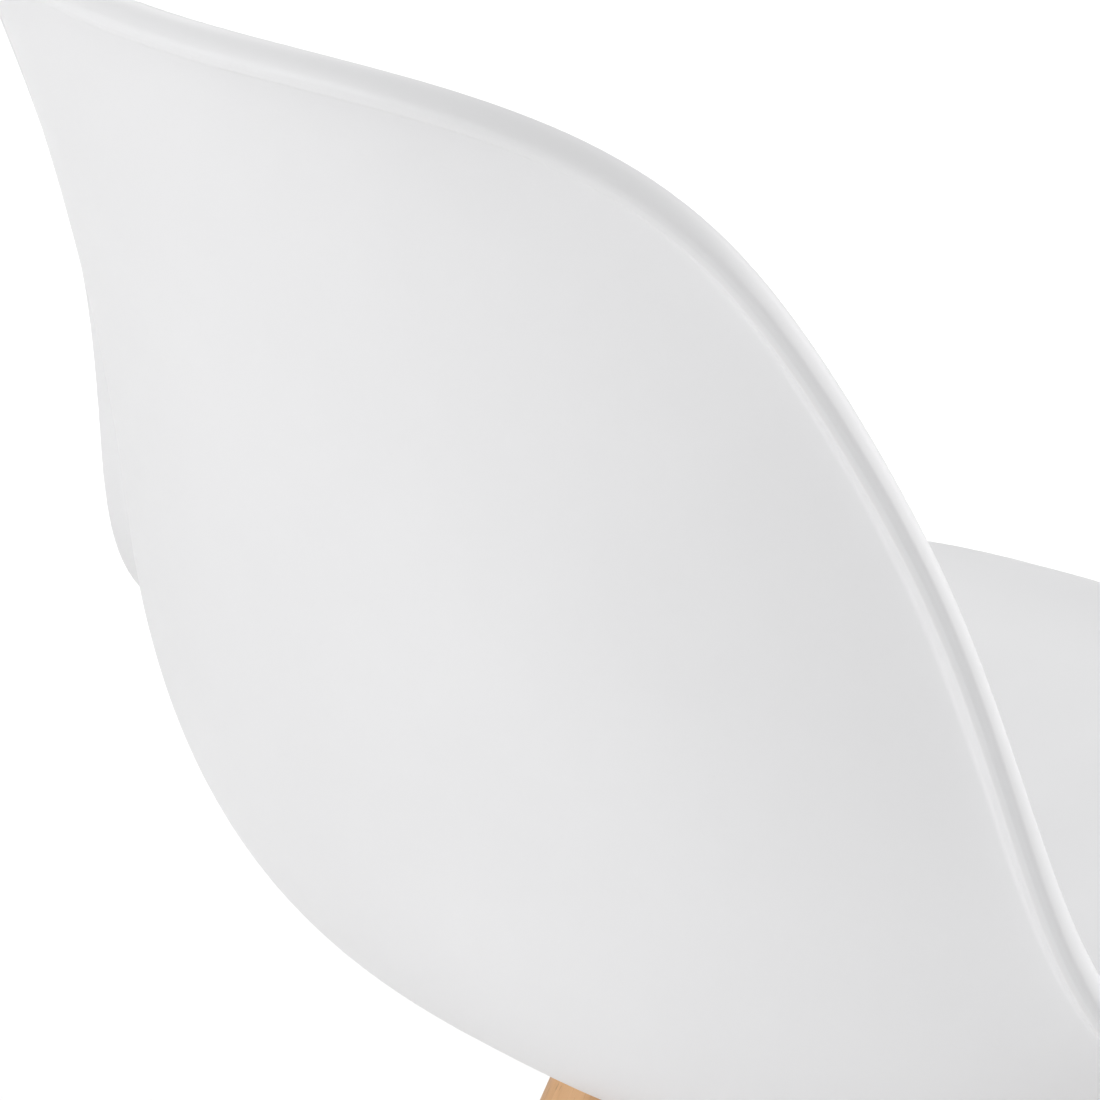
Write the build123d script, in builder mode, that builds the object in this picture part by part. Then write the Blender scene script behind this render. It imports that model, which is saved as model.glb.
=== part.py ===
from build123d import *
import math
import os

# Dining side chair: a moulded plastic shell on four splayed beech dowels that steel rods brace.
# Millimetres. +Z is up, the sitter faces -Y and the sitter's left is +X. The origin is on the
# floor, under the middle of the chair's bounding box across X and Y.

# ---- shell ----
WALL = 4.0
# Stations from the front lip to the top edge, evenly spaced along the shell. Each one has the
# centre line's y and z, the half width, the side edge's y and z, and how sharply the sides rise.
STATIONS = [
    (-262, 441, 201, -247, 427, 3.7),
    (-238, 457, 222, -212, 456, 3.6),
    (-148, 445, 231, -138, 466, 3.2),
    (-52, 429, 235, -51, 476, 3.0),
    (48, 416, 230, 35, 483, 2.8),
    (122, 439, 218, 86, 516, 2.6),
    (167, 501, 201, 101, 576, 2.3),
    (192, 596, 188, 116, 654, 2.1),
    (217, 702, 185, 152, 744, 1.9),
    (260, 800, 202, 164, 842, 2.2),
]
CENTRE_Y, CENTRE_Z, HALF_WIDTH, SIDE_Y, SIDE_Z, RISE_POWER = range(6)
# The outline is a superellipse in the stations' own coordinates.
SIDE_POWER_TOP = 2.8
END_POWER_TOP = 4.9
SIDE_POWER_FRONT = 2.6
END_POWER_FRONT = 5.0
POLE = 0.5
# Section of the rolled edge, from the sitter's side round to the back. The first number runs
# outwards from the edge line and the second rearwards from the shell's back face.
BEAD = [
    (-4.5, -4.1),
    (-1.0, -4.2),
    (2.6, -2.9),
    (5.0, 0.0),
    (5.0, 3.4),
    (2.4, 6.0),
    (-1.2, 5.9),
    (-4.0, 3.2),
    (-7.5, 0.8),
]
# Where the skin's rows have their points: as shares of the way out from the seat's middle, then
# as distances in from the edge.
ROW_SHARES = (0, 0.1, 0.24, 0.4, 0.56, 0.7, 0.82, 0.9)
ROW_MARGINS = (22, 12)
HALF_ROWS = 14
# How finely a row's length is measured, how many degrees either side of a point give the edge's
# run there, and how many times the spline is smoothed through its points.
RAY_STEPS = 10
EDGE_NUDGE = 0.5
SPLINE_SWEEPS = 40

# ---- posts under the seat, and what screws into them ----
POST_RADIUS = 10.0
POST_Z = 410.0
POST_REACH = 30.0
POST_STOCK = 60.0
INSERT_RADIUS = 4.6
INSERT_LENGTH = 12.0
INSERT_HOLE_DEPTH = 14.0
PAD_RADIUS = 12.0
PAD_HEIGHT = 5.0
GAP = 0.3
# Where the wall over a post is looked for along the shell, and how many times that is halved.
SEAT_SPAN = (0.1, 0.5)
HALVINGS = 30

# ---- legs ----
LEG_X = 70.0
LEG_MIDDLE_Y = -49.0
LEG_HALF_Y = 61.0
LEG_TOP_Z = 406.0
SPLAY_X = 0.29
SPLAY_Y = 0.25
LEG_TOP_RADIUS = 13.0
LEG_SWELL_RADIUS = 14.5
LEG_SWELL_DROP = 150.0
LEG_FOOT_RADIUS = 10.0
LEG_TOP_CHAMFER = 2.0
LEG_FOOT_WASTE = 12.0
GLIDE_RADIUS = 9.0
GLIDE_HEIGHT = 6.0
GLIDE_CHAMFER = 1.0
GLIDE_PIN_RADIUS = 2.0
GLIDE_PIN_LENGTH = 12.0
GLIDE_HOLE_DEPTH = 13.0
UPPER_BOLT_DROP = 57.0
LOWER_BOLT_DROP = 196.0

# ---- steel ----
PLATE = 3.0
BRACKET_WIDTH = 26.0
BRACKET_MARGIN = 12.0
ROD_RADIUS = 4.0
EYE_RADIUS = 8.0
TONGUE_LENGTH = 15.0
TONGUE_WIDTH = 9.0
NECK_RADIUS = 4.4
NECK_LIFT = NECK_RADIUS + 0.2
CROSSING_GAP = 1.2
CROSSING_BOW = ROD_RADIUS + CROSSING_GAP / 2

# ---- fasteners ----
BOLT_RADIUS = 3.0
BOLT_HOLE_RADIUS = 3.4
HEAD_HEIGHT = 4.0
# How far a bolt reaches into what it screws into, and how far a hole is cut beyond its piece.
SEAT_BOLT_THREAD = 10.0
LEG_BOLT_THREAD = 6.0
THROUGH_CUT = 30.0
CUT_MARGIN = 1.0
SEAT_HEAD_RADIUS = 5.5
LEG_HEAD_RADIUS = 6.0
COUNTERBORE_RADIUS = 6.5
HEAD_SEAT = 8.0
SOCKET_RADIUS = 2.3
SOCKET_DEPTH = 2.5
WASHER_RADIUS = 6.5
WASHER = 1.2
NUT_RADIUS = 5.8
NUT_HEIGHT = 5.0
NUT_DOME_RADIUS = 4.8
NUT_HOLE_DEPTH = 7.0

STANDING = (Align.CENTER, Align.CENTER, Align.MIN)
HANGING = (Align.CENTER, Align.CENTER, Align.MAX)
# Each corner's side, +1 for the sitter's left, and end, +1 for the rear.
CORNERS = {
    "front_left": (1, -1),
    "front_right": (-1, -1),
    "rear_left": (1, 1),
    "rear_right": (-1, 1),
}


def station_value(column, t):
    """Even cubic B-spline through the ends of one column of STATIONS, t from 0 to 1."""
    values = [station[column] for station in STATIONS]
    values = [2 * values[0] - values[1]] + values + [2 * values[-1] - values[-2]]
    spans = len(STATIONS) - 1
    place = min(max(t, 0.0), 1.0) * spans
    first = min(int(place), spans - 1)
    f = place - first
    weights = [(1 - f) ** 3, 3 * f**3 - 6 * f**2 + 4, -3 * f**3 + 3 * f**2 + 3 * f + 1, f**3]
    return sum(w * v for w, v in zip(weights, values[first : first + 4])) / 6


def back_point(a, b):
    """Point of the back face. a runs from -1 to 1 across, b from 0 in front to 1 at the top."""
    rise = abs(a) ** station_value(RISE_POWER, b)
    y = station_value(CENTRE_Y, b)
    z = station_value(CENTRE_Z, b)
    y += (station_value(SIDE_Y, b) - y) * rise
    z += (station_value(SIDE_Z, b) - z) * rise
    return Vector(station_value(HALF_WIDTH, b) * a, y, z)


def back_normal(a, b):
    """Unit normal of the back face, pointing away from the sitter."""
    step = 0.002
    along = back_point(a, min(b + step, 1)) - back_point(a, max(b - step, 0))
    across = back_point(a + step, b) - back_point(a - step, b)
    return along.cross(across).normalized()


def outline(angle):
    """The edge's a and b. The angle runs from 0 at the front lip's middle to 180 at the top's."""
    side = abs(math.sin(math.radians(angle)))
    end = -math.cos(math.radians(angle))
    if end > 0:
        return side ** (2 / SIDE_POWER_TOP), POLE + (1 - POLE) * end ** (2 / END_POWER_TOP)
    return side ** (2 / SIDE_POWER_FRONT), POLE - POLE * abs(end) ** (2 / END_POWER_FRONT)


def even_angles(count):
    """Angles whose edge points are evenly spaced along the edge."""
    steps = 720
    fine = [180 * (0.5 - 0.5 * math.cos(math.pi * i / steps)) for i in range(steps + 1)]
    points = [back_point(*outline(angle)) for angle in fine]
    run = [0.0]
    for start, finish in zip(points, points[1:]):
        run.append(run[-1] + (finish - start).length)
    angles = [0.0]
    for k in range(1, count):
        target = run[-1] * k / count
        i = next(j for j in range(steps) if run[j + 1] >= target)
        share = (target - run[i]) / (run[i + 1] - run[i])
        angles.append(fine[i] + share * (fine[i + 1] - fine[i]))
    return angles + [180.0]


def shell_row(angle):
    """Points from the seat's middle over the sitter's side, round the edge and back below."""
    a_edge, b_edge = outline(angle)
    edge = back_point(a_edge, b_edge)
    normal = back_normal(a_edge, b_edge)
    ahead = back_point(*outline(min(angle + EDGE_NUDGE, 180)))
    run = ahead - back_point(*outline(max(angle - EDGE_NUDGE, 0)))
    if angle in (0, 180):
        run = Vector(1 if angle == 0 else -1, 0, 0)
    outward = normal.cross(run).normalized()
    steps = [i / RAY_STEPS for i in range(RAY_STEPS + 1)]
    ray = [back_point(share * a_edge, POLE + share * (b_edge - POLE)) for share in steps]
    length = sum((q - p).length for p, q in zip(ray, ray[1:]))
    back = []
    front = []
    for share in ROW_SHARES + tuple(1 - margin / length for margin in ROW_MARGINS):
        a = share * a_edge
        b = POLE + share * (b_edge - POLE)
        back.append(back_point(a, b))
        front.append(back_point(a, b) - back_normal(a, b) * WALL)
    bead = [edge + outward * u + normal * v for u, v in BEAD]
    return front + bead + back[::-1]


def mirrored(point):
    return Vector(-point.X, point.Y, point.Z)


def control_points(points, closed_by_mirror):
    """Control points of the even cubic spline through the points, with one more at each end."""
    control = list(points)
    last = len(points) - 1
    for sweep_number in range(SPLINE_SWEEPS):
        for i in range(1, last):
            control[i] = (points[i] * 6 - control[i - 1] - control[i + 1]) / 4
        if closed_by_mirror:
            control[0] = (points[0] * 6 - control[1] - mirrored(control[1])) / 4
            control[last] = (points[last] * 6 - control[last - 1] - mirrored(control[last - 1])) / 4
    if closed_by_mirror:
        return [mirrored(control[1])] + control + [mirrored(control[last - 1])]
    return [control[0] * 2 - control[1]] + control + [control[last] * 2 - control[last - 1]]


def bezier(p, q, r, s):
    """Bezier points of the spline span that four neighbouring control points shape."""
    return [(p + q * 4 + r) / 6, (q * 2 + r) / 3, (q + r * 2) / 3, (q + r * 4 + s) / 6]


def make_skin():
    """The wall and its rolled edge as one closed skin of curved patches."""
    rows = [control_points(shell_row(angle), False) for angle in even_angles(HALF_ROWS)]
    columns = [control_points(column, True) for column in zip(*rows)]
    patches = []
    for j in range(len(columns) - 3):
        for i in range(len(columns[0]) - 3):
            lines = [bezier(*column[i : i + 4]) for column in columns[j : j + 4]]
            patches.append(Face.make_bezier_surface([bezier(*line) for line in zip(*lines)]))
    patches += [patch.mirror(Plane.YZ) for patch in patches]
    return Solid(Shell(patches))


def leg_top(side, end):
    return Vector(side * LEG_X, LEG_MIDDLE_Y + end * LEG_HALF_Y, LEG_TOP_Z)


def leg_down(side, end):
    return Vector(side * SPLAY_X, end * SPLAY_Y, -1).normalized()


def level_outward(side, end):
    return Vector(side * SPLAY_X, end * SPLAY_Y, 0).normalized()


def leg_plane(side, end, drop=0.0, height=0.0):
    """The leg's own plane: on its axis at a drop from the top, and a height towards the chair's
    middle. x runs down the leg and z points at the chair's middle."""
    down = leg_down(side, end)
    inward = level_outward(side, end) * -1
    inward = (inward - down * inward.dot(down)).normalized()
    return Plane(origin=leg_top(side, end) + down * drop + inward * height, x_dir=down, z_dir=inward)


LEG_LENGTH = (LEG_TOP_Z - GLIDE_HEIGHT) * math.sqrt(1 + SPLAY_X**2 + SPLAY_Y**2)


def leg_radius(drop):
    if drop < LEG_SWELL_DROP:
        return LEG_TOP_RADIUS + (LEG_SWELL_RADIUS - LEG_TOP_RADIUS) * drop / LEG_SWELL_DROP
    share = (drop - LEG_SWELL_DROP) / (LEG_LENGTH - LEG_SWELL_DROP)
    return LEG_SWELL_RADIUS + (LEG_FOOT_RADIUS - LEG_SWELL_RADIUS) * share


# Heights above the leg's axis: where the bracket lies on the leg, then where the first eye lies
# on each bolt.
BRACKET_HEIGHT = leg_radius(UPPER_BOLT_DROP) + GAP
UPPER_EYE_HEIGHT = BRACKET_HEIGHT + PLATE
LOWER_EYE_HEIGHT = leg_radius(LOWER_BOLT_DROP) + GAP


def post_place(side, end):
    """Middle of the post's lower face."""
    foot = leg_top(side, end) - level_outward(side, end) * POST_REACH
    return Vector(foot.X, foot.Y, POST_Z)


POST_PLACES = [post_place(*corner) for corner in CORNERS.values()]


def wall_above(place):
    """Point in the middle of the shell's wall above a place under the seat, and its normal."""
    low_b, high_b = SEAT_SPAN
    for halving in range(HALVINGS):
        b = (low_b + high_b) / 2
        a = place.X / station_value(HALF_WIDTH, b)
        if back_point(a, b).Y < place.Y:
            low_b = b
        else:
            high_b = b
    return back_point(a, b) - back_normal(a, b) * WALL / 2, back_normal(a, b)


def make_post(place):
    """Round post from its lower face up into the middle of the wall."""
    wall, normal = wall_above(place)
    with BuildPart() as post:
        with Locations(place):
            Cylinder(POST_RADIUS, POST_STOCK, align=STANDING)
        split(bisect_by=Plane(origin=wall, z_dir=normal), keep=Keep.TOP)
    return post.part


def make_post_rings(outer, inner, low, height):
    """One ring or disc under each post."""
    with BuildPart() as rings:
        with BuildSketch(Plane.XY.offset(low)):
            with Locations(*[(place.X, place.Y) for place in POST_PLACES]):
                Circle(outer)
                if inner:
                    Circle(inner, mode=Mode.SUBTRACT)
        extrude(amount=height)
    return rings.part


# ---- seat shell: wall, rolled edge and four posts with blind holes for the inserts ----
skin = make_skin()
posts = [make_post(place) for place in POST_PLACES]
with BuildPart() as seat_shell:
    add(skin)
    add(posts)
    with Locations(*POST_PLACES):
        Cylinder(INSERT_RADIUS + GAP, INSERT_HOLE_DEPTH, align=STANDING, mode=Mode.SUBTRACT)

# ---- what screws the brackets to the posts ----
FLANGE_Z = POST_Z - PAD_HEIGHT - PLATE
SEAT_HEAD_Z = FLANGE_Z - WASHER
head_floor = make_post_rings(SEAT_HEAD_RADIUS, 0, SEAT_HEAD_Z - HEAD_HEIGHT, HEAD_HEIGHT)
SEAT_BOLT_LENGTH = WASHER + PLATE + PAD_HEIGHT + SEAT_BOLT_THREAD
shanks = make_post_rings(BOLT_RADIUS, 0, SEAT_HEAD_Z, SEAT_BOLT_LENGTH)
with BuildPart() as seat_bolts:
    add(head_floor)
    add(shanks)
    with BuildSketch(Plane.XY.offset(SEAT_HEAD_Z - HEAD_HEIGHT)):
        with Locations(*[(place.X, place.Y) for place in POST_PLACES]):
            RegularPolygon(SOCKET_RADIUS, 6)
    extrude(amount=SOCKET_DEPTH, mode=Mode.SUBTRACT)

parts = {
    "seat_shell": seat_shell.part,
    "shell_inserts": make_post_rings(INSERT_RADIUS, BOLT_HOLE_RADIUS, POST_Z, INSERT_LENGTH),
    "shock_mounts": make_post_rings(PAD_RADIUS, BOLT_HOLE_RADIUS, POST_Z - PAD_HEIGHT, PAD_HEIGHT),
    "seat_washers": make_post_rings(WASHER_RADIUS, BOLT_HOLE_RADIUS, FLANGE_Z - WASHER, WASHER),
    "seat_bolts": seat_bolts.part,
}


def glide_place(side, end):
    """Where the leg's axis meets the glide."""
    down = leg_down(side, end)
    return leg_top(side, end) + down * ((LEG_TOP_Z - GLIDE_HEIGHT) / -down.Z)


def make_leg(side, end):
    """Turned dowel that swells below the top and thins to the foot, with its two cross holes,
    their counterbores and the glide's hole, cut level at the foot."""
    top = leg_plane(side, end)
    turned_length = LEG_LENGTH + LEG_FOOT_WASTE
    with BuildPart() as leg:
        with BuildSketch(top):
            with BuildLine():
                Polyline(
                    (0, 0),
                    (0, LEG_TOP_RADIUS - LEG_TOP_CHAMFER),
                    (LEG_TOP_CHAMFER, LEG_TOP_RADIUS),
                    (LEG_SWELL_DROP, LEG_SWELL_RADIUS),
                    (turned_length, leg_radius(turned_length)),
                    (turned_length, 0),
                    close=True,
                )
            make_face()
        revolve(axis=Axis(top.origin, top.x_dir))
        split(bisect_by=Plane.XY.offset(GLIDE_HEIGHT), keep=Keep.TOP)
        for drop in (UPPER_BOLT_DROP, LOWER_BOLT_DROP):
            with BuildSketch(leg_plane(side, end, drop)):
                Circle(BOLT_HOLE_RADIUS)
            extrude(amount=LEG_SWELL_RADIUS + CUT_MARGIN, both=True, mode=Mode.SUBTRACT)
            with BuildSketch(leg_plane(side, end, drop, -HEAD_SEAT)):
                Circle(COUNTERBORE_RADIUS)
            extrude(amount=-LEG_SWELL_RADIUS, mode=Mode.SUBTRACT)
        with Locations(glide_place(side, end)):
            Cylinder(GLIDE_PIN_RADIUS + GAP, GLIDE_HOLE_DEPTH, align=STANDING, mode=Mode.SUBTRACT)
    return leg.part


def make_glide(side, end):
    """Nylon foot: a thick disc with a pin up into the leg."""
    with BuildPart() as glide:
        with Locations(glide_place(side, end)):
            Cylinder(GLIDE_RADIUS, GLIDE_HEIGHT, align=HANGING)
        chamfer(glide.edges().filter_by(GeomType.CIRCLE).sort_by(Axis.Z)[0], GLIDE_CHAMFER)
        with Locations(glide_place(side, end)):
            Cylinder(GLIDE_PIN_RADIUS, GLIDE_PIN_LENGTH, align=STANDING)
    return glide.part


def make_bracket(side, end):
    """Steel strip bent from a level flange under the pad to a tab down the leg's inner side."""
    outward = level_outward(side, end)
    upright = Plane(origin=leg_top(side, end), x_dir=outward, z_dir=outward.cross(Vector(0, 0, 1)))
    tilt = math.hypot(SPLAY_X, SPLAY_Y)

    def level_with(height, z):
        """In the upright plane: the point at a height over the leg's axis, where it passes z."""
        return (-z * tilt - height * math.hypot(1, tilt), z)

    def lowest(height):
        foot = leg_plane(side, end, UPPER_BOLT_DROP + BRACKET_MARGIN, height).origin
        offset = foot - leg_top(side, end)
        return (offset.dot(outward), offset.Z)

    flange_end = -POST_REACH - BRACKET_MARGIN
    top = FLANGE_Z + PLATE - LEG_TOP_Z
    with BuildPart() as bracket:
        with BuildSketch(upright):
            with BuildLine():
                Polyline(
                    (flange_end, top),
                    level_with(BRACKET_HEIGHT, top),
                    lowest(BRACKET_HEIGHT),
                    lowest(BRACKET_HEIGHT + PLATE),
                    level_with(BRACKET_HEIGHT + PLATE, top - PLATE),
                    (flange_end, top - PLATE),
                    close=True,
                )
            make_face()
        extrude(amount=BRACKET_WIDTH / 2, both=True)
        with BuildSketch(leg_plane(side, end, UPPER_BOLT_DROP)):
            Circle(BOLT_HOLE_RADIUS)
        extrude(amount=THROUGH_CUT, mode=Mode.SUBTRACT)
        with Locations(post_place(side, end)):
            Cylinder(BOLT_HOLE_RADIUS, THROUGH_CUT, mode=Mode.SUBTRACT)
    return bracket.part


def make_brace(upper, lower, layer, bow):
    """Rod from the upper bolt of one leg to the lower bolt of the next, with a flat eye at each
    end. The layer counts the plates between the eye and the leg, and the bow lets two rods pass."""
    upper_plane = leg_plane(*upper, UPPER_BOLT_DROP, UPPER_EYE_HEIGHT + layer * PLATE)
    lower_plane = leg_plane(*lower, LOWER_BOLT_DROP, LOWER_EYE_HEIGHT + layer * PLATE)
    rod_ends = []
    with BuildPart() as brace:
        for plane, other in ((upper_plane, lower_plane), (lower_plane, upper_plane)):
            along = other.origin - plane.origin
            along = (along - plane.z_dir * along.dot(plane.z_dir)).normalized()
            with BuildSketch(Plane(origin=plane.origin, x_dir=along, z_dir=plane.z_dir)):
                Circle(EYE_RADIUS)
                with Locations((TONGUE_LENGTH / 2, 0)):
                    Rectangle(TONGUE_LENGTH, TONGUE_WIDTH)
                Circle(BOLT_HOLE_RADIUS, mode=Mode.SUBTRACT)
            extrude(amount=PLATE)
            rod_ends.append(plane.origin + along * TONGUE_LENGTH + plane.z_dir * NECK_LIFT)
        with Locations(*rod_ends):
            Sphere(NECK_RADIUS)
        with BuildLine() as path:
            ThreePointArc(rod_ends[0], (rod_ends[0] + rod_ends[1]) / 2 + bow, rod_ends[1])
        with BuildSketch(Plane(origin=path.line @ 0, z_dir=path.line % 0)):
            Circle(ROD_RADIUS)
        sweep(path=path.line)
    return brace.part


def make_leg_bolts(drop, top):
    """One bolt for each leg, its socket head in the leg's counterbore, up to a height."""
    with BuildPart() as bolts:
        for corner in CORNERS.values():
            with BuildSketch(leg_plane(*corner, drop, -HEAD_SEAT)):
                Circle(LEG_HEAD_RADIUS)
            extrude(amount=-HEAD_HEIGHT)
            with BuildSketch(leg_plane(*corner, drop, -HEAD_SEAT)):
                Circle(BOLT_RADIUS)
            extrude(amount=HEAD_SEAT + top)
            with BuildSketch(leg_plane(*corner, drop, -HEAD_SEAT - HEAD_HEIGHT)):
                RegularPolygon(SOCKET_RADIUS, 6)
            extrude(amount=SOCKET_DEPTH, mode=Mode.SUBTRACT)
    return bolts.part


def make_leg_washers(drop, low):
    with BuildPart() as washers:
        for corner in CORNERS.values():
            with BuildSketch(leg_plane(*corner, drop, low)):
                Circle(WASHER_RADIUS)
                Circle(BOLT_HOLE_RADIUS, mode=Mode.SUBTRACT)
            extrude(amount=WASHER)
    return washers.part


def make_cap_nuts(drop, low):
    """Domed hexagon nuts with blind holes."""
    with BuildPart() as nuts:
        for corner in CORNERS.values():
            with BuildSketch(leg_plane(*corner, drop, low)):
                RegularPolygon(NUT_RADIUS, 6)
            extrude(amount=NUT_HEIGHT)
            with Locations(leg_plane(*corner, drop, low + NUT_HEIGHT).origin):
                Sphere(NUT_DOME_RADIUS)
            with BuildSketch(leg_plane(*corner, drop, low)):
                Circle(BOLT_HOLE_RADIUS)
            extrude(amount=NUT_HOLE_DEPTH, mode=Mode.SUBTRACT)
    return nuts.part


# ---- the four corners: leg, glide and bracket ----
for corner, place in CORNERS.items():
    parts["leg_" + corner] = make_leg(*place)
    parts["glide_" + corner] = make_glide(*place)
    parts["bracket_" + corner] = make_bracket(*place)

# ---- the eight brace rods, which cross in pairs without touching ----
BRACES = {
    "brace_front_a": ("front_left", "front_right", 0, Vector(0, CROSSING_BOW, 0)),
    "brace_front_b": ("front_right", "front_left", 0, Vector(0, -CROSSING_BOW, 0)),
    "brace_rear_a": ("rear_left", "rear_right", 0, Vector(0, CROSSING_BOW, 0)),
    "brace_rear_b": ("rear_right", "rear_left", 0, Vector(0, -CROSSING_BOW, 0)),
    "brace_left_a": ("front_left", "rear_left", 1, Vector(CROSSING_BOW, 0, 0)),
    "brace_left_b": ("rear_left", "front_left", 1, Vector(-CROSSING_BOW, 0, 0)),
    "brace_right_a": ("front_right", "rear_right", 1, Vector(-CROSSING_BOW, 0, 0)),
    "brace_right_b": ("rear_right", "front_right", 1, Vector(CROSSING_BOW, 0, 0)),
}
for name, (upper, lower, layer, bow) in BRACES.items():
    parts[name] = make_brace(CORNERS[upper], CORNERS[lower], layer, bow)

# ---- the bolts, washers and cap nuts that hold the legs, brackets and braces together ----
BOLT_STACKS = {
    "upper_leg": (UPPER_BOLT_DROP, UPPER_EYE_HEIGHT + 2 * PLATE),
    "lower_leg": (LOWER_BOLT_DROP, LOWER_EYE_HEIGHT + 2 * PLATE),
}
for name, (drop, stack_top) in BOLT_STACKS.items():
    parts[name + "_bolts"] = make_leg_bolts(drop, stack_top + WASHER + LEG_BOLT_THREAD)
    parts[name + "_washers"] = make_leg_washers(drop, stack_top)
    parts[name + "_cap_nuts"] = make_cap_nuts(drop, stack_top + WASHER)

os.makedirs("parts", exist_ok=True)
for name, part in parts.items():
    part.label = name
    export_step(part, "parts/" + name + ".step")
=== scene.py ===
import math

import bmesh
import bpy
import numpy as np
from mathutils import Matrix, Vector


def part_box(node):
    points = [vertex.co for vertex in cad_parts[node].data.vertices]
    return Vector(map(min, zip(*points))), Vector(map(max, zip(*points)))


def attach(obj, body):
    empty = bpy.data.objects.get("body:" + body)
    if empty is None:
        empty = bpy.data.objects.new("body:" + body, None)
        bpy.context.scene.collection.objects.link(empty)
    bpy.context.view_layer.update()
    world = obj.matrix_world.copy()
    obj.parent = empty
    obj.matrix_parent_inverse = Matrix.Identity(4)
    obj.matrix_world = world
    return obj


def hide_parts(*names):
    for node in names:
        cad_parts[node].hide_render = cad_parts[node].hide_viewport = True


# Looks of the dining chair: the shell as one fine mesh, on the CAD's own surface and with a sharper
# section of its rolled edge, then materials for the other pieces, and a plain studio. Shapes are
# worked out in millimetres, and meshes are made in metres.

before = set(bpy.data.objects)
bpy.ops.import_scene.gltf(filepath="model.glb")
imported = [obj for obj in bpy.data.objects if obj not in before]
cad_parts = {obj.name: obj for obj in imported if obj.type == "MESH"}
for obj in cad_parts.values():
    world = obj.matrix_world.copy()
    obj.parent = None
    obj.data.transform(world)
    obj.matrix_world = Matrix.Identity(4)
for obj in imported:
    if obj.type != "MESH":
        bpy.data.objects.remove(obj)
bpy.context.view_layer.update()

MM = 0.001

# ---------------------------------------------------------------- shell surface
# Stations from the front lip to the top edge, evenly spaced along the shell. Each one has the
# centre line's y and z, the half width, the side edge's y and z, and how sharply the sides rise.
STATIONS = np.array(
    [
        (-262, 441, 201, -247, 427, 3.7),
        (-238, 457, 222, -212, 456, 3.6),
        (-148, 445, 231, -138, 466, 3.2),
        (-52, 429, 235, -51, 476, 3.0),
        (48, 416, 230, 35, 483, 2.8),
        (122, 439, 218, 86, 516, 2.6),
        (167, 501, 201, 101, 576, 2.3),
        (192, 596, 188, 116, 654, 2.1),
        (217, 702, 185, 152, 744, 1.9),
        (260, 800, 202, 164, 842, 2.2),
    ],
    float,
)
CENTRE_Y, CENTRE_Z, HALF_WIDTH, SIDE_Y, SIDE_Z, RISE_POWER = range(6)
# The outline is a superellipse in the stations' own coordinates.
SIDE_POWER_TOP = 2.8
END_POWER_TOP = 4.9
SIDE_POWER_FRONT = 2.6
END_POWER_FRONT = 5.0
MIDDLE = 0.5
WALL = 4.0


def station(t):
    """All six station values at t from 0 (front) to 1 (top), by an even cubic B-spline."""
    t = np.clip(np.asarray(t, float), 0, 1)
    spans = len(STATIONS) - 1
    first = np.minimum((t * spans).astype(int), spans - 1)
    f = (t * spans - first)[..., None]
    padded = np.vstack([2 * STATIONS[0] - STATIONS[1], STATIONS, 2 * STATIONS[-1] - STATIONS[-2]])
    weights = [(1 - f) ** 3, 3 * f**3 - 6 * f**2 + 4, -3 * f**3 + 3 * f**2 + 3 * f + 1, f**3]
    return sum(w * padded[first + k] for k, w in enumerate(weights)) / 6


def back_point(a, b):
    """Points of the shell's back face, a from -1 to 1 across and b from 0 to 1 up the shell."""
    s = station(b)
    rise = np.abs(a) ** s[..., RISE_POWER]
    y = s[..., CENTRE_Y] + (s[..., SIDE_Y] - s[..., CENTRE_Y]) * rise
    z = s[..., CENTRE_Z] + (s[..., SIDE_Z] - s[..., CENTRE_Z]) * rise
    return np.stack([s[..., HALF_WIDTH] * a, y, z], -1)


def unit(v):
    return v / np.linalg.norm(v, axis=-1, keepdims=True)


def back_normal(a, b):
    """Unit normals of the back face, pointing away from the sitter."""
    step = 0.002
    along = back_point(a, np.minimum(b + step, 1)) - back_point(a, np.maximum(b - step, 0))
    across = back_point(a + step, b) - back_point(a - step, b)
    return unit(np.cross(along, across))


def outline(angle):
    """The edge's a and b, with the angle from 0 at the front middle to pi at the top middle."""
    side = np.abs(np.sin(angle))
    end = -np.cos(angle)
    size = np.abs(end)
    a = np.where(end > 0, side ** (2 / SIDE_POWER_TOP), side ** (2 / SIDE_POWER_FRONT))
    top = MIDDLE + (1 - MIDDLE) * size ** (2 / END_POWER_TOP)
    front = MIDDLE - MIDDLE * size ** (2 / END_POWER_FRONT)
    return a, np.where(end > 0, top, front)


# ---------------------------------------------------------------- rolled edge
# The section, walked from the sitter's side round to the back. A bend has its radius and the angle
# of the surface's normal at its end, 0 outwards and 90 rearwards. A run has its length. A turn is a
# sharp corner to a new normal.
EDGE_START = (2.47, -WALL)
START_NORMAL = -90
EDGE_ROLL = [
    ("bend", 1.7, -19),
    ("bend", 9.0, 30),
    ("bend", 2.9, 75),
    ("run", 0.3),
    ("turn", 165),
    ("run", 0.3),
    ("turn", 62),
    ("bend", 2.2, 90),
    ("run", 1.18),
]
SLOPE = 59
SLOPE_TOP_RADIUS = 1.5
SLOPE_FOOT_RADIUS = 2.87
SLOPE_RUNS = 3
BEND_STEP = 6.5


def walk(points, normal, steps):
    """Adds the steps to a list of points and returns the normal's angle after them."""
    for kind, value, *end in steps:
        u, v = points[-1]
        t = math.radians(normal)
        if kind == "turn":
            normal = value
        elif kind == "run":
            points.append((u - value * math.sin(t), v + value * math.cos(t)))
        else:
            change = end[0] - normal
            radius = math.copysign(value, change)
            u -= radius * math.cos(t)
            v -= radius * math.sin(t)
            count = max(2, round(abs(change) / BEND_STEP))
            for i in range(1, count + 1):
                t = math.radians(normal + change * i / count)
                points.append((u + radius * math.cos(t), v + radius * math.sin(t)))
            normal = end[0]
    return normal


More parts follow.
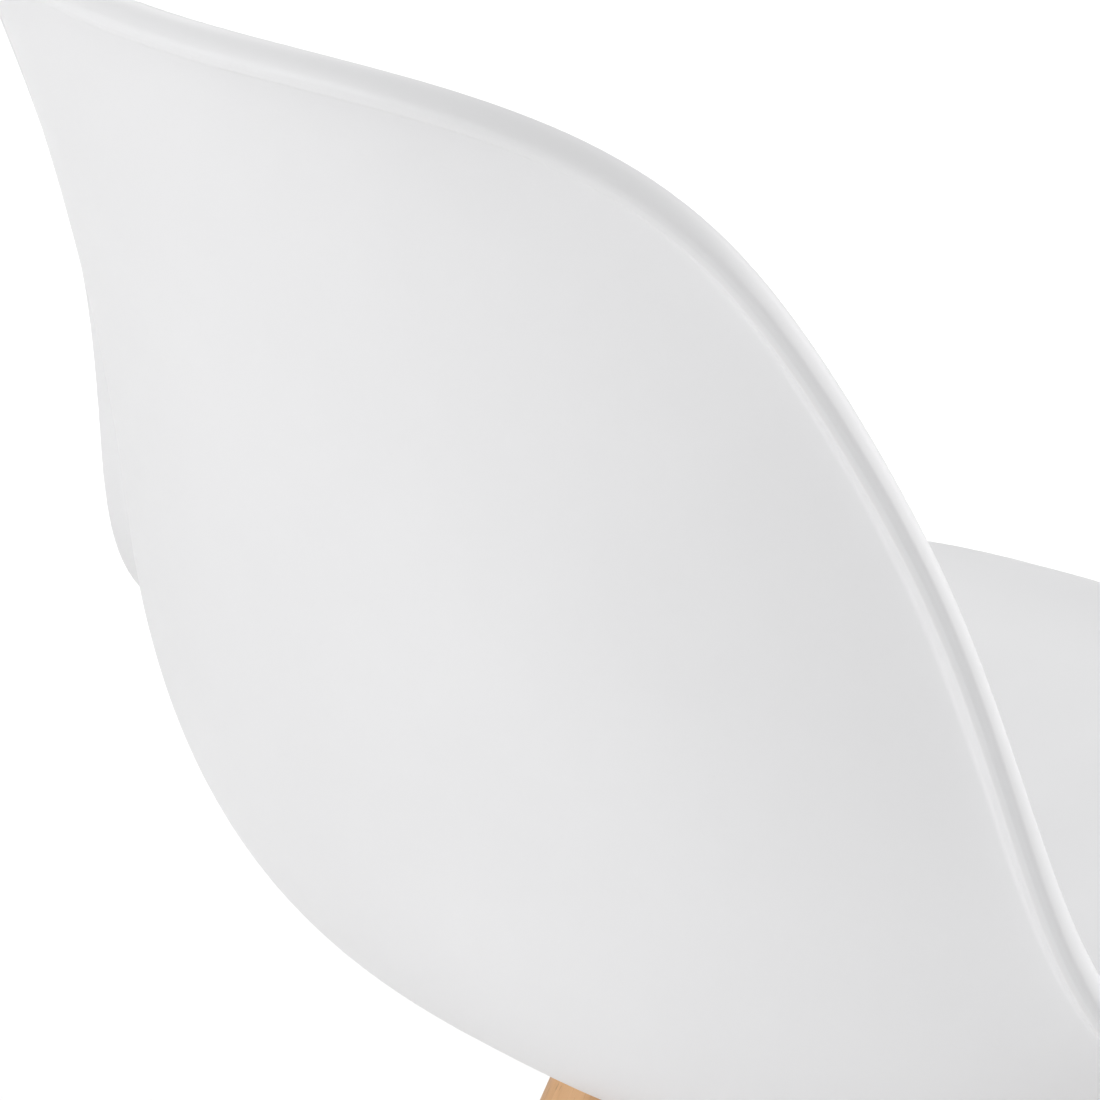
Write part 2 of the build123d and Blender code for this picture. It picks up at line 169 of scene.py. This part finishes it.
def edge_section():
    """Points of the rolled edge: a bowed roll, a fine groove, a narrow land, a slope and a fillet
    that ends on the back face. Each one is millimetres outwards from the edge line and rearwards
    from the back face."""
    points = [EDGE_START]
    normal = walk(points, START_NORMAL, EDGE_ROLL)
    tilt = math.radians(SLOPE)
    bends = (SLOPE_TOP_RADIUS + SLOPE_FOOT_RADIUS) * (1 - math.cos(tilt))
    run = ("run", (points[-1][1] - bends) / math.sin(tilt) / SLOPE_RUNS)
    top = ("bend", SLOPE_TOP_RADIUS, normal + SLOPE)
    foot = ("bend", SLOPE_FOOT_RADIUS, normal)
    walk(points, normal, [top] + [run] * SLOPE_RUNS + [foot])
    return np.array(points)


# ---------------------------------------------------------------- shell mesh
# A square grid fills the middle of each face. Rings run from its border to the rolled edge, closer
# together near the edge.
PER_SIDE = 96
GRID_A = 0.42
GRID_B = 0.27
RINGS = 44
RING_CROWDING = 1.6
# The sitter's side has three more rings, at these millimetres in from the edge line.
LAST_FRONT_RINGS = (6.0, 4.0, 2.0)
OUTLINE_SAMPLES = 4001
# Share of the way in from the edge over which that way's length is measured.
NEAR_SHARE = 0.01


def even_outline(half_count):
    """Edge a and b at even steps along the edge, front middle to top middle on the +X side."""
    fine = math.pi * (0.5 - 0.5 * np.cos(np.linspace(0, math.pi, OUTLINE_SAMPLES)))
    points = back_point(*outline(fine))
    run = np.concatenate([[0], np.cumsum(np.linalg.norm(np.diff(points, axis=0), axis=1))])
    angles = np.interp(np.linspace(0, run[-1], half_count + 1), run, fine)
    return outline(angles)


def grid_border():
    """The grid's border in step with the outline, from the front middle round by the +X side: the
    points' a and b, and their rows and columns in the grid."""
    n = PER_SIDE
    side, step = np.divmod((np.arange(4 * n) + n // 2) % (4 * n), n)
    share = step / n * 2 - 1
    full = np.ones(4 * n)
    a = np.choose(side, [share, full, -share, -full]) * GRID_A
    b = MIDDLE + np.choose(side, [-full, share, full, -share]) * GRID_B
    rows = np.choose(side, [0 * step, step, 0 * step + n, n - step])
    columns = np.choose(side, [step, 0 * step + n, n - step, 0 * step])
    return a, b, rows, columns


def ring_faces(rings, count):
    """Quads between closed rings of points that follow one another in a list."""
    faces = []
    for base in range(0, (rings - 1) * count, count):
        for i in range(count):
            j = (i + 1) % count
            faces.append((base + i, base + j, base + count + j, base + count + i))
    return faces


def shell_mesh():
    """Quads only: a square grid in the middle of each face, rings out to the rolled edge."""
    a_half, b_half = even_outline(2 * PER_SIDE)
    a_edge = np.concatenate([a_half, -a_half[-2:0:-1]])
    b_edge = np.concatenate([b_half, b_half[-2:0:-1]])
    a_in, b_in, rows, columns = grid_border()

    edge = back_point(a_edge, b_edge)
    normal = back_normal(a_edge, b_edge)
    run = unit(np.roll(edge, -1, axis=0) - np.roll(edge, 1, axis=0))
    outward = unit(np.cross(normal, run))

    def inside(share):
        """Points of the back face and their normals, a share of the way from edge to grid."""
        a = a_edge + share * (a_in - a_edge)
        b = b_edge + share * (b_in - b_edge)
        return back_point(a, b), back_normal(a, b)

    # Length of that way, square to the edge and judged by its first stretch.
    way = -((inside(NEAR_SHARE)[0] - edge) * outward).sum(-1) / NEAR_SHARE

    section = edge_section()
    last = -section[-1][0] / way
    eased = [1 - (1 - i / RINGS) ** RING_CROWDING for i in range(RINGS + 1)]
    rings = [inside(1 - (1 - last) * share) for share in eased]
    last_front = [inside(distance / way) for distance in LAST_FRONT_RINGS]
    lip = []
    for u, v in section[:-1]:
        if u < 0:
            p, n = inside(-u / way)
            lip.append(p + n * v)
        else:
            lip.append(edge + outward * u + normal * v)
    loops = [p - n * WALL for p, n in rings + last_front] + lip + [p for p, n in reversed(rings)]
    count = len(edge)
    verts = np.concatenate(loops)
    faces = ring_faces(len(loops), count)

    steps = np.linspace(-1, 1, PER_SIDE + 1)
    a_grid, b_grid = np.meshgrid(steps * GRID_A, MIDDLE + steps * GRID_B)
    back_grid = back_point(a_grid, b_grid)
    front_grid = back_grid - back_normal(a_grid, b_grid) * WALL
    for grid, border, flip in ((front_grid, 0, False), (back_grid, (len(loops) - 1) * count, True)):
        index = np.full(a_grid.shape, -1)
        index[rows, columns] = border + np.arange(count)
        new = index < 0
        index[new] = len(verts) + np.arange(new.sum())
        verts = np.concatenate([verts, grid[new]])
        for near, far in zip(index, index[1:]):
            for quad in zip(near, near[1:], far[1:], far):
                faces.append(quad[::-1] if flip else quad)
    return verts * MM, faces


# ---------------------------------------------------------------- posts under the seat
INSERT_RADIUS = 4.6
POST_RADIUS = 10.0
POST_SIDES = 64
BORE_RADIUS = 4.9
BORE_DEPTH = 14.0
BORE_END_CHAMFER = 0.3
BORE_MOUTH_CHAMFER = 0.4
# The post's foot is rounded, through one point midway, and its root has a fillet.
FOOT_RADIUS = 0.8
FOOT_MIDWAY = 0.23
POST_FILLET = 2.0
FILLET_STEPS = 4
# The post is closed off inside the wall, this much inside its own radius.
ROOF_INSET = 3.0
# Where the underside over a post is looked for along the shell, and how often that is halved.
SEAT_SPAN = (0.1, 0.5)
HALVINGS = 30


def underside(x, y):
    """Height of the shell's underside at places under the seat."""
    low, high = (np.full(x.shape, limit) for limit in SEAT_SPAN)
    for halving in range(HALVINGS):
        b = (low + high) / 2
        a = x / station(b)[..., HALF_WIDTH]
        ahead = back_point(a, b)[..., 1] < y
        low = np.where(ahead, b, low)
        high = np.where(ahead, high, b)
    return back_point(a, b)[..., 2]


def post_places():
    """Middles of the posts' feet, from the box round the CAD's four inserts."""
    low, high = (np.array(corner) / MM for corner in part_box("shell_inserts"))
    sides = (low[0] + INSERT_RADIUS, high[0] - INSERT_RADIUS)
    ends = (low[1] + INSERT_RADIUS, high[1] - INSERT_RADIUS)
    return [(x, y, low[2]) for x in sides for y in ends]


def post_mesh(x, y, foot):
    """A closed round post with a blind bore, its root filleted onto the shell's underside."""
    turn = np.linspace(0, 2 * math.pi, POST_SIDES, endpoint=False)
    loops = []

    def circle(radius):
        return x + radius * np.cos(turn), y + radius * np.sin(turn)

    def add_level(radius, rise):
        loops.append((*circle(radius), np.full(POST_SIDES, foot + rise)))

    def add_under_shell(radius, rise):
        loops.append((*circle(radius), underside(*circle(radius)) + rise))

    add_level(BORE_RADIUS - BORE_END_CHAMFER, BORE_DEPTH)
    add_level(BORE_RADIUS, BORE_DEPTH - BORE_END_CHAMFER)
    add_level(BORE_RADIUS, BORE_MOUTH_CHAMFER)
    add_level(BORE_RADIUS + BORE_MOUTH_CHAMFER, 0)
    add_level(POST_RADIUS - FOOT_RADIUS, 0)
    add_level(POST_RADIUS - FOOT_MIDWAY, FOOT_MIDWAY)
    add_level(POST_RADIUS, FOOT_RADIUS)
    for angle in np.linspace(0, math.pi / 2, FILLET_STEPS + 1):
        out = POST_FILLET * (1 - math.cos(angle))
        add_under_shell(POST_RADIUS + out, -POST_FILLET * (1 - math.sin(angle)))
    add_under_shell(POST_RADIUS + POST_FILLET, WALL / 2)
    add_under_shell(POST_RADIUS - ROOF_INSET, WALL / 2)

    verts = np.concatenate([np.stack(loop, -1) for loop in loops])
    faces = ring_faces(len(loops), POST_SIDES)
    faces.append(tuple(range(POST_SIDES)))
    faces.append(tuple(range(len(verts) - POST_SIDES, len(verts))))
    return verts * MM, faces


# ---------------------------------------------------------------- mesh helpers
def new_object(name, verts, faces, material, smooth=True):
    mesh = bpy.data.meshes.new(name)
    mesh.from_pydata([tuple(v) for v in verts], [], [tuple(int(i) for i in f) for f in faces])
    mesh.update()
    bm = bmesh.new()
    bm.from_mesh(mesh)
    bmesh.ops.recalc_face_normals(bm, faces=bm.faces)
    bm.to_mesh(mesh)
    bm.free()
    mesh.polygons.foreach_set("use_smooth", [smooth] * len(mesh.polygons))
    mesh.materials.append(material)
    obj = bpy.data.objects.new(name, mesh)
    bpy.context.collection.objects.link(obj)
    return obj


def sharpen(obj, degrees):
    """Marks edges sharp where the faces turn by more than this."""
    mesh = obj.data
    bm = bmesh.new()
    bm.from_mesh(mesh)
    for edge in bm.edges:
        if len(edge.link_faces) == 2 and edge.calc_face_angle(0) > math.radians(degrees):
            edge.smooth = False
    bm.to_mesh(mesh)
    bm.free()


# ---------------------------------------------------------------- material helpers
class Nodes:
    """A material's node tree, with short calls for its nodes. Textures run in the object's own
    coordinates, which are metres."""

    def __init__(self, name):
        self.material = bpy.data.materials.new(name)
        self.material.use_nodes = True
        self.tree = self.material.node_tree
        self.tree.nodes.clear()
        self.shader = self.add("ShaderNodeBsdfPrincipled")
        output = self.add("ShaderNodeOutputMaterial")
        self.link(self.shader.outputs["BSDF"], output.inputs["Surface"])
        self.place = self.add("ShaderNodeTexCoord").outputs["Object"]

    def add(self, kind, **settings):
        node = self.tree.nodes.new(kind)
        for key, value in settings.items():
            setattr(node, key, value)
        return node

    def link(self, output, socket):
        self.tree.links.new(output, socket)

    def set(self, **values):
        """Sets the shader's own sockets, with _ for a space in their names."""
        for key, value in values.items():
            self.shader.inputs[key.replace("_", " ")].default_value = value

    def mapping(self, source=None, scale=(1, 1, 1), rotation=(0, 0, 0)):
        node = self.add("ShaderNodeMapping")
        node.inputs["Scale"].default_value = scale
        node.inputs["Rotation"].default_value = rotation
        self.link(source or self.place, node.inputs["Vector"])
        return node.outputs["Vector"]

    def noise(self, scale, detail, rough, source=None, distortion=0.0):
        node = self.add("ShaderNodeTexNoise")
        node.inputs["Scale"].default_value = scale
        node.inputs["Detail"].default_value = detail
        node.inputs["Roughness"].default_value = rough
        node.inputs["Distortion"].default_value = distortion
        self.link(source or self.place, node.inputs["Vector"])
        return node.outputs["Fac"]

    def ramp(self, factor, stops):
        """Colour by factor, from stops that have a place from 0 to 1 and a colour."""
        node = self.add("ShaderNodeValToRGB")
        elements = node.color_ramp.elements
        while len(elements) < len(stops):
            elements.new(0.5)
        for element, (position, colour) in zip(elements, stops):
            element.position = position
            element.color = (*colour, 1)
        self.link(factor, node.inputs["Fac"])
        return node.outputs["Color"]

    def remap(self, value, source, result):
        """Takes the source range to the result range, and holds it there."""
        node = self.add("ShaderNodeMapRange")
        node.inputs["From Min"].default_value, node.inputs["From Max"].default_value = source
        node.inputs["To Min"].default_value, node.inputs["To Max"].default_value = result
        self.link(value, node.inputs["Value"])
        return node.outputs["Result"]

    def math(self, operation, first, second):
        node = self.add("ShaderNodeMath", operation=operation)
        for socket, value in zip(node.inputs, (first, second)):
            if isinstance(value, float):
                socket.default_value = value
            else:
                self.link(value, socket)
        return node.outputs["Value"]

    def tinted(self, factor, base, colour):
        """The base colour with so much of one plain colour over it."""
        node = self.add("ShaderNodeMix", data_type="RGBA")
        colour_factor, under, over = node.inputs[0], node.inputs[6], node.inputs[7]
        self.link(factor, colour_factor)
        self.link(base, under)
        over.default_value = (*colour, 1)
        return node.outputs[2]

    def bump(self, height, distance, strength, after=None):
        node = self.add("ShaderNodeBump")
        node.inputs["Distance"].default_value = distance
        node.inputs["Strength"].default_value = strength
        self.link(height, node.inputs["Height"])
        if after:
            self.link(after, node.inputs["Normal"])
        return node.outputs["Normal"]

    def colour(self, output):
        self.link(output, self.shader.inputs["Base Color"])

    def roughness(self, output):
        self.link(output, self.shader.inputs["Roughness"])

    def normal(self, output):
        self.link(output, self.shader.inputs["Normal"])


# ---------------------------------------------------------------- materials
SHELL_DARK = (0.80, 0.80, 0.808)
SHELL_LIGHT = (0.826, 0.826, 0.834)
SHELL_SPECK = (0.62, 0.62, 0.61)

BEECH_BANDS = [
    (0.28, (0.503, 0.265, 0.122)),
    (0.47, (0.642, 0.365, 0.176)),
    (0.62, (0.717, 0.425, 0.216)),
    (0.8, (0.77, 0.475, 0.252)),
]
BEECH_FLECK = (0.36, 0.19, 0.095)
BEECH_PORE = (0.42, 0.245, 0.13)
# Scales of the beech's patterns: twice across the grain, then along it.
BAND_SCALE = (95, 95, 5)
FLECK_SCALE = (1500, 1500, 210)
PORE_SCALE = (2600, 2600, 55)


def shell_plastic():
    """Semi-matte white polypropylene: faint flow clouds, mould grain and fine dust specks."""
    n = Nodes("white_polypropylene")
    n.set(IOR=1.49, Specular_IOR_Level=0.42)
    tint = n.ramp(n.noise(7, 3, 0.55), [(0.3, SHELL_DARK), (0.7, SHELL_LIGHT)])
    specks = n.remap(n.noise(2600, 1, 0.5), (0.74, 0.82), (0.0, 1.0))
    n.colour(n.tinted(n.math("MULTIPLY", specks, 0.35), tint, SHELL_SPECK))
    sheen = n.math("ADD", n.noise(11, 4, 0.6), n.math("MULTIPLY", n.noise(420, 2, 0.6), 0.5))
    n.roughness(n.remap(sheen, (0.5, 1.05), (0.36, 0.47)))
    grain = n.bump(n.noise(1500, 3, 0.6), 0.00005, 0.35)
    n.normal(n.bump(n.noise(26, 2, 0.5), 0.0006, 0.16, after=grain))
    return n.material


def beech(name, axis):
    """Light beech along one axis: soft growth bands, fine pores and short darker flecks."""
    n = Nodes(name)
    n.set(IOR=1.5, Specular_IOR_Level=0.4, Coat_Weight=0.12, Coat_Roughness=0.3)
    turn = Vector(axis).to_track_quat("Z", "Y").inverted().to_euler()
    grain = n.mapping(rotation=tuple(turn))
    bands = n.noise(1.0, 3, 0.55, n.mapping(grain, scale=BAND_SCALE), distortion=0.6)
    flecks = n.noise(1.0, 2, 0.5, n.mapping(grain, scale=FLECK_SCALE))
    pores = n.noise(1.0, 4, 0.7, n.mapping(grain, scale=PORE_SCALE))
    base = n.ramp(bands, BEECH_BANDS)
    flecked = n.tinted(n.remap(flecks, (0.6, 0.72), (0.0, 0.55)), base, BEECH_FLECK)
    n.colour(n.tinted(n.remap(pores, (0.5, 0.8), (0.0, 0.3)), flecked, BEECH_PORE))
    n.roughness(n.remap(n.math("ADD", bands, pores), (0.6, 1.4), (0.42, 0.58)))
    n.normal(n.bump(pores, 0.00012, 0.5))
    return n.material


def powder_coat():
    """Black powder coat with its fine orange-peel texture."""
    n = Nodes("black_powder_coat")
    n.set(IOR=1.5, Specular_IOR_Level=0.5, Coat_Weight=0.1, Coat_Roughness=0.35)
    n.colour(n.ramp(n.noise(60, 3, 0.6), [(0.3, (0.014, 0.014, 0.015)), (0.7, (0.024, 0.024, 0.025))]))
    n.roughness(n.remap(n.noise(900, 2, 0.6), (0.3, 0.7), (0.38, 0.55)))
    n.normal(n.bump(n.noise(1400, 2, 0.5), 0.00012, 0.4))
    return n.material


def blackened_steel():
    """Black-oxide fasteners: a darker metal with faint turning marks and worn spots."""
    n = Nodes("blackened_steel")
    n.set(Metallic=0.85)
    n.colour(n.ramp(n.noise(320, 4, 0.65), [(0.45, (0.045, 0.045, 0.048)), (0.7, (0.12, 0.12, 0.125))]))
    n.roughness(n.remap(n.noise(700, 3, 0.6), (0.3, 0.7), (0.28, 0.5)))
    n.normal(n.bump(n.noise(2400, 2, 0.5), 0.00005, 0.3))
    return n.material


def turned_brass():
    """Brass inserts with uneven tarnish."""
    n = Nodes("turned_brass")
    n.set(Metallic=1.0)
    n.colour(n.ramp(n.noise(240, 3, 0.6), [(0.3, (0.50, 0.34, 0.12)), (0.7, (0.72, 0.52, 0.22))]))
    n.roughness(n.remap(n.noise(900, 2, 0.5), (0.3, 0.7), (0.25, 0.45)))
    n.normal(n.bump(n.noise(3000, 2, 0.5), 0.00004, 0.3))
    return n.material


def pad_rubber():
    """Matte black rubber of the pads under the posts."""
    n = Nodes("black_rubber")
    n.set(IOR=1.5, Specular_IOR_Level=0.35)
    n.colour(n.ramp(n.noise(150, 3, 0.6), [(0.3, (0.016, 0.016, 0.016)), (0.7, (0.032, 0.031, 0.030))]))
    n.roughness(n.remap(n.noise(500, 2, 0.5), (0.3, 0.7), (0.62, 0.85)))
    n.normal(n.bump(n.noise(1800, 2, 0.5), 0.0001, 0.4))
    return n.material


def glide_nylon():
    """Black moulded nylon of the feet."""
    n = Nodes("black_nylon")
    n.set(IOR=1.53, Specular_IOR_Level=0.45)
    n.colour(n.ramp(n.noise(220, 3, 0.6), [(0.3, (0.022, 0.022, 0.023)), (0.7, (0.05, 0.049, 0.048))]))
    n.roughness(n.remap(n.noise(800, 2, 0.6), (0.3, 0.7), (0.4, 0.62)))
    n.normal(n.bump(n.noise(2200, 2, 0.5), 0.00006, 0.4))
    return n.material


def floor_finish():
    """Pale matte floor."""
    n = Nodes("pale_floor")
    n.set(IOR=1.45, Specular_IOR_Level=0.2)
    n.colour(n.ramp(n.noise(3, 3, 0.5), [(0.3, (0.86, 0.86, 0.86)), (0.7, (0.88, 0.88, 0.88))]))
    n.roughness(n.remap(n.noise(40, 3, 0.5), (0.3, 0.7), (0.75, 0.85)))
    n.normal(n.bump(n.noise(300, 2, 0.5), 0.0002, 0.1))
    return n.material


# ---------------------------------------------------------------- the shell
SHARP_ANGLE = 18

verts, faces = shell_mesh()
for place in post_places():
    post_verts, post_faces = post_mesh(*place)
    faces += [tuple(len(verts) + i for i in face) for face in post_faces]
    verts = np.concatenate([verts, post_verts])
shell = new_object("seat_shell_skin", verts, faces, shell_plastic())
sharpen(shell, SHARP_ANGLE)
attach(shell, "root")
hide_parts("seat_shell")

# ---------------------------------------------------------------- pieces kept from the CAD
# How far a leg runs left and rearwards for each millimetre down, as in the CAD, for its grain.
SPLAY = {"left": 0.29, "right": -0.29, "front": -0.25, "rear": 0.25}


def paint(node, material):
    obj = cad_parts[node]
    for slot in obj.material_slots:
        slot.material = material
    if not obj.material_slots:
        obj.data.materials.append(material)


steel = powder_coat()
black = blackened_steel()
nylon = glide_nylon()
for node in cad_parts:
    kind, *place = node.split("_")
    if kind == "leg":
        end, side = place
        paint(node, beech("beech_" + end + "_" + side, (SPLAY[side], SPLAY[end], -1)))
    elif kind in ("brace", "bracket"):
        paint(node, steel)
    elif kind == "glide":
        paint(node, nylon)
    elif node == "shell_inserts":
        paint(node, turned_brass())
    elif node == "shock_mounts":
        paint(node, pad_rubber())
    elif node != "seat_shell":
        paint(node, black)

# ---------------------------------------------------------------- stage, light and camera
# Metres, degrees and watts from here on.
FLOOR_HALF = 40.0
AMBIENT = 0.396

# Each softbox has its azimuth, 0 in front of the chair and 90 to its left, its elevation and its
# power. All stand at one distance from the point that they light.
LAMP_AIM = Vector((0, 0.05, 0.6))
LAMP_DISTANCE = 3.0
LAMP_SIZE = 1.5
SOFTBOXES = {
    "rear_softbox_knee": (180, -5, 4.6),
    "rear_softbox_low": (180, 8, 14.8),
    "rear_softbox_high": (180, 40, 15.4),
    "rear_left_softbox": (150, 8, 5.7),
    "rear_right_softbox": (198, 8, 6.5),
    "left_softbox": (60, 40, 21.7),
    "front_right_softbox": (320, 8, 28.3),
    "front_right_high_softbox": (320, 30, 5.3),
    "front_softbox": (355, 8, 21.3),
}
OVERHEAD = (0, 89.9, 10.9)
OVERHEAD_SIZE = 2.0
# One more lamp points straight down at the floor beyond the chair, so that it stays white.
FLOOR_LAMP_PLACE = (1.5, -1.2, 2.6)
FLOOR_LAMP_SIZE = 1.2
FLOOR_LAMP_WATTS = 7.1
FLOOR_LAMP_SPREAD = 60

CAMERA_PLACE = (-2.20614, 1.93078, 1.78967)
CAMERA_TARGET = (-0.07868, 0.16656, 0.64173)
# The sensor's width and the lens, in millimetres, and how far the camera sees.
SENSOR = 36
LENS = 357.513
CLIP_END = 60


def aim(obj, target):
    obj.rotation_euler = (Vector(target) - obj.location).to_track_quat("-Z", "Y").to_euler()


def square_lamp(name, place, size, watts):
    """A square area lamp that points down."""
    lamp = bpy.data.lights.new(name, "AREA")
    lamp.shape = "SQUARE"
    lamp.size = size
    lamp.energy = watts
    obj = bpy.data.objects.new(name, lamp)
    obj.location = place
    obj.visible_camera = False
    bpy.context.collection.objects.link(obj)
    return obj


def softbox(name, azimuth, elevation, watts, size=LAMP_SIZE):
    """A lamp on the sphere round LAMP_AIM, turned to it."""
    turn, rise = math.radians(azimuth), math.radians(elevation)
    away = Vector((math.sin(turn) * math.cos(rise), -math.cos(turn) * math.cos(rise), math.sin(rise)))
    aim(square_lamp(name, LAMP_AIM + away * LAMP_DISTANCE, size, watts), LAMP_AIM)


corners = [(-FLOOR_HALF, -FLOOR_HALF, 0), (FLOOR_HALF, -FLOOR_HALF, 0)]
corners += [(FLOOR_HALF, FLOOR_HALF, 0), (-FLOOR_HALF, FLOOR_HALF, 0)]
floor = new_object("floor", corners, [(0, 1, 2, 3)], floor_finish(), smooth=False)

world = bpy.data.worlds.new("studio")
bpy.context.scene.world = world
world.use_nodes = True
background = world.node_tree.nodes["Background"]
background.inputs["Color"].default_value = (1, 1, 1, 1)
background.inputs["Strength"].default_value = AMBIENT

for name, settings in SOFTBOXES.items():
    softbox(name, *settings)
softbox("overhead_softbox", *OVERHEAD, size=OVERHEAD_SIZE)
floor_lamp = square_lamp("floor_lamp", FLOOR_LAMP_PLACE, FLOOR_LAMP_SIZE, FLOOR_LAMP_WATTS)
floor_lamp.data.spread = math.radians(FLOOR_LAMP_SPREAD)

camera_data = bpy.data.cameras.new("camera")
camera_data.sensor_width = SENSOR
camera_data.lens = LENS
camera_data.clip_end = CLIP_END
camera = bpy.data.objects.new("camera", camera_data)
camera.location = CAMERA_PLACE
aim(camera, CAMERA_TARGET)
bpy.context.collection.objects.link(camera)
bpy.context.scene.camera = camera
bpy.context.scene.view_settings.view_transform = "Standard"
bpy.context.scene.view_settings.look = "None"
